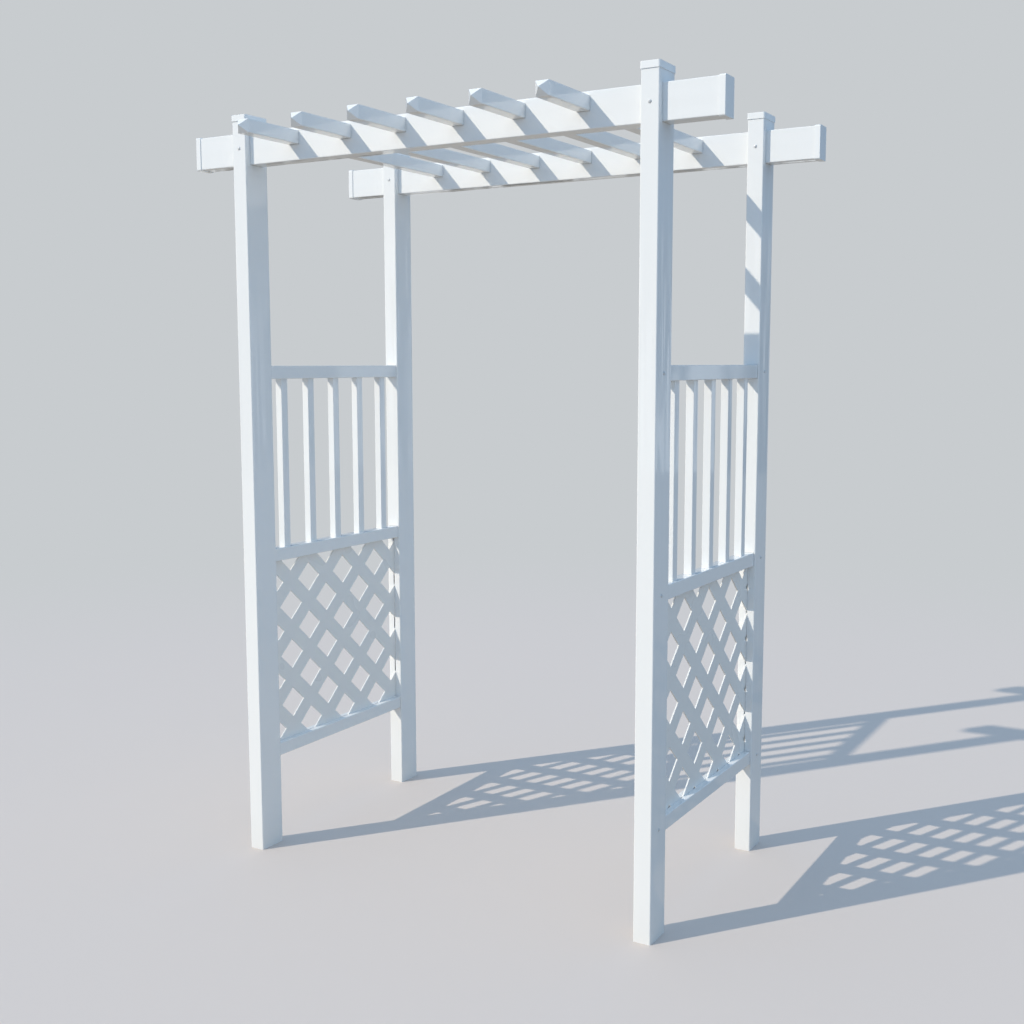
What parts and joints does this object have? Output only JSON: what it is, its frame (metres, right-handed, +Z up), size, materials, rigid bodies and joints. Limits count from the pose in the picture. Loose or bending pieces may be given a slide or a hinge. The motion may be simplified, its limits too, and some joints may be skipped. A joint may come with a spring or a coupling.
{
  "type": "garden arbor",
  "caption": "Free-standing garden arbor of white vinyl tube, with beams and rafters that pass through each other, and sides of balusters over lattice.",
  "frame": {"origin": "on the ground, midway between the four posts", "axes": "+X along the beams to the right, +Y from the front to the back, +Z up"},
  "size_m": [1.6156, 1.212, 2.134],
  "materials": {
    "vinyl": "smooth white extruded vinyl with a soft gloss",
    "screw": "plated steel"
  },
  "bodies": {
    "root": {"post_left_front": "vinyl", "post_left_back": "vinyl", "post_right_front": "vinyl", "post_right_back": "vinyl", "post_cap_left_front": "vinyl", "post_cap_left_back": "vinyl", "post_cap_right_front": "vinyl", "post_cap_right_back": "vinyl", "beam_front": "vinyl", "beam_back": "vinyl", "beam_cap_left_front": "vinyl", "beam_cap_left_back": "vinyl", "beam_cap_right_front": "vinyl", "beam_cap_right_back": "vinyl", "rafter_1": "vinyl", "rafter_2": "vinyl", "rafter_3": "vinyl", "rafter_4": "vinyl", "rafter_5": "vinyl", "rafter_6": "vinyl", "rafter_cap_front_1": "vinyl", "rafter_cap_back_1": "vinyl", "rafter_cap_front_2": "vinyl", "rafter_cap_back_2": "vinyl", "rafter_cap_front_3": "vinyl", "rafter_cap_back_3": "vinyl", "rafter_cap_front_4": "vinyl", "rafter_cap_back_4": "vinyl", "rafter_cap_front_5": "vinyl", "rafter_cap_back_5": "vinyl", "rafter_cap_front_6": "vinyl", "rafter_cap_back_6": "vinyl", "rail_left_top": "vinyl", "rail_left_mid": "vinyl", "rail_left_low": "vinyl", "rail_right_top": "vinyl", "rail_right_mid": "vinyl", "rail_right_low": "vinyl", "baluster_left_1": "vinyl", "baluster_left_2": "vinyl", "baluster_left_3": "vinyl", "baluster_left_4": "vinyl", "baluster_left_5": "vinyl", "baluster_right_1": "vinyl", "baluster_right_2": "vinyl", "baluster_right_3": "vinyl", "baluster_right_4": "vinyl", "baluster_right_5": "vinyl", "lattice_left": "vinyl", "lattice_right": "vinyl", "beam_screws": "screw", "rail_screws": "screw"}
  },
  "joints": []
}
